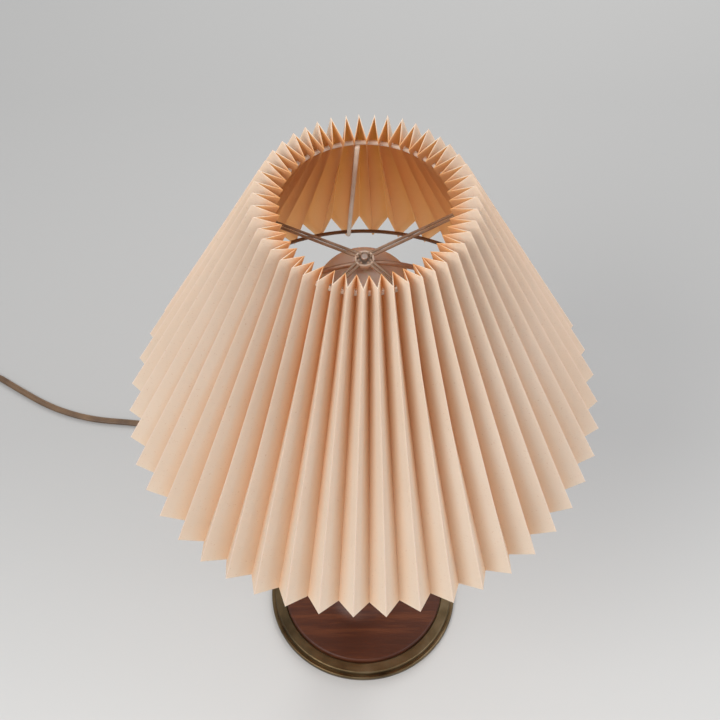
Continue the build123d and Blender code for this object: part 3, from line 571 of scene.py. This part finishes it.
def fold_end(step, at_top):
    """End of a fold; even steps are outer folds, odd steps are inner ones."""
    turn, pull, top_turn, top_pull = unevenness[step % fold_count]
    outer = top_radius if at_top else bottom_radius
    inner = inner_fold_radius(top_radius) if at_top else bottom_inner_radius
    radius = outer if step % 2 == 0 else inner
    height = paper_top - (0 if at_top else shade_height) - (outer - radius) * tan(fold_lean)
    angle = front_fold + step * half_pitch
    if at_top:
        angle += top_twist + top_stray * top_turn
        radius -= pull_most * (1 + top_pull)
    else:
        angle += bottom_stray * turn
        radius -= pull_most * (1 + pull)
    return Vector((radius * cos(angle), radius * sin(angle), height))


# rows run up a fold and columns from an outer fold to an inner one, and the slot for the top
# ring is the last but one of both
fold_length = (fold_end(0, True) - fold_end(0, False)).length
plain_rows = 12
rows = [step / plain_rows for step in range(plain_rows)]
rows += [1 - (top_slot + slot_half) / fold_length, 1 - (top_slot - slot_half) / fold_length, 1.0]
columns = [0.0, 0.4, 0.79, 0.98, 1.0]
slot_row = len(rows) - 3
slot_column = 2

sheet = bmesh.new()
uv = sheet.loops.layers.uv.new("paper")
for step in range(fold_count):
    outer, inner = (step, step + 1) if step % 2 == 0 else (step + 1, step)
    low = [fold_end(outer, False).lerp(fold_end(inner, False), across) for across in columns]
    high = [fold_end(outer, True).lerp(fold_end(inner, True), across) for across in columns]
    marks = {}
    grid = []
    for along in rows:
        line = []
        for across, foot, head in zip(columns, low, high):
            corner = sheet.verts.new(foot.lerp(head, along))
            marks[corner] = ((outer + across * (inner - outer)) * pleat_width,
                             along * fold_length)
            line.append(corner)
        grid.append(line)
    for row in range(len(rows) - 1):
        for column in range(len(columns) - 1):
            if (row, column) == (slot_row, slot_column):
                continue
            corners = [grid[row][column], grid[row][column + 1],
                       grid[row + 1][column + 1], grid[row + 1][column]]
            face = sheet.faces.new(corners if step % 2 == 0 else corners[::-1])
            for loop in face.loops:
                loop[uv].uv = marks[loop.vert]
bmesh.ops.remove_doubles(sheet, verts=sheet.verts[:], dist=0.00001)
paper_data = bpy.data.meshes.new("shade_paper")
sheet.to_mesh(paper_data)
sheet.free()
shade_paper = bpy.data.objects.new("shade_paper", paper_data)
two_skins = shade_paper.modifiers.new("paper_thickness", "SOLIDIFY")
two_skins.thickness = paper_thickness
two_skins.offset = 0.0
two_skins.use_even_offset = True
two_skins.material_offset = 1


def tinted(tree, factor, strength, base, code):
    """The base colour, mixed towards a sRGB hex colour by a share of a factor."""
    share = add(tree, "ShaderNodeMath", {0: factor, 1: strength}, operation="MULTIPLY")
    # the mixer's sockets for colours: 6 and 7 go in, 2 comes out
    mixed = add(tree, "ShaderNodeMix",
                {"Factor": share.outputs["Value"], 6: base, 7: linear(code)}, data_type="RGBA")
    return mixed.outputs[2]


def laid_paper(name, dark, light, painted_valley_colour, glow_colour, see_through):
    """Laid paper that lets light through, with a painted highlight along the outer folds and
    painted glow and shade, deeper in colour, in the valleys.
    """
    made, tree, finish = material(name, light, 0.82)
    place = add(tree, "ShaderNodeTexCoord")
    sides = add(tree, "ShaderNodeSeparateXYZ", {"Vector": place.outputs["UV"]})
    # distance from the nearest outer fold, over the sheet
    away = add(tree, "ShaderNodeMath", {0: sides.outputs["X"], 1: pleat_width},
               operation="PINGPONG")
    # the painted highlight of the outer folds fades out 0.2 to 0.7 mm from the fold
    ridge_highlight = add(tree, "ShaderNodeMapRange",
                {"Value": away.outputs["Value"], "From Min": 0.0002, "From Max": 0.0007,
                 "To Min": 1.0, "To Max": 0.0})
    valley = add(tree, "ShaderNodeMapRange",
                 {"Value": away.outputs["Value"], "From Min": 0.35 * pleat_width,
                  "From Max": pleat_width})
    # painted glow and shade: the valleys are tinted deeper orange for light bounced between the
    # folds, most towards the narrow end, where they lie closest
    height = add(tree, "ShaderNodeMapRange",
                 {"Value": sides.outputs["Y"], "From Max": fold_length, "To Min": 0.35,
                  "To Max": 1.1})
    painted_valley_share = add(tree, "ShaderNodeMath",
               {0: valley.outputs["Result"], 1: height.outputs["Result"]}, operation="MULTIPLY")
    # clouds 70 mm wide in the pulp, and darker fibres 1 mm long
    clouds = add(tree, "ShaderNodeValToRGB", {"Fac": grain(tree, 14.0, 3.0)},
                 stops=((0.3, dark), (0.7, light)))
    speck = add(tree, "ShaderNodeMapRange",
                {"Value": grain(tree, 900.0, 2.0), "From Min": 0.66, "From Max": 0.74})
    # painted glow and shade in the valleys
    colour = tinted(tree, painted_valley_share.outputs["Value"], 0.9, clouds.outputs["Color"], painted_valley_colour)
    # painted highlight along each outer fold
    colour = tinted(tree, ridge_highlight.outputs["Result"], 0.7, colour, "#fff6ee")
    colour = tinted(tree, speck.outputs["Result"], 0.35, colour, "#b98a62")
    tree.links.new(colour, finish["Base Color"])
    # laid ribs lie 1 mm apart across the folds, and are 17 mm long
    lie = add(tree, "ShaderNodeMapping",
              {"Vector": place.outputs["UV"], "Scale": (60.0, 900.0, 1.0)})
    rib = add(tree, "ShaderNodeTexNoise",
              {"Vector": lie.outputs["Vector"], "Scale": 1.0, "Detail": 3.0})
    add(tree, "ShaderNodeBump", {"Height": rib.outputs["Fac"], "Distance": 0.00015},
        {"Normal": finish["Normal"]})
    finish["Specular IOR Level"].default_value = 0.2
    shader = tree.nodes["Principled BSDF"].outputs["BSDF"]
    glow = add(tree, "ShaderNodeBsdfTranslucent", {"Color": linear(glow_colour)})
    add(tree, "ShaderNodeMixShader", {"Fac": see_through, 1: shader, 2: glow.outputs["BSDF"]},
        {"Shader": tree.nodes["Material Output"].inputs["Surface"]})
    return made


# the outer skin is pale, and the inner one, over the lamp, is a deeper orange copy of it: painted
# glow of the light that comes through the paper
paper_data.materials.append(
    laid_paper("laid_shade_paper", "#f6ecd9", "#faf3e3", "#efb473", "#ffd694", 0.30))
paper_data.materials.append(
    laid_paper("shade_paper_inner_painted_glow", "#f2d6ae", "#f5dcb6", "#edc08c", "#ffd99c", 0.42))
settle(shade_paper, "shade", "shade_paper", "pleated_shade")

bpy.context.view_layer.update()
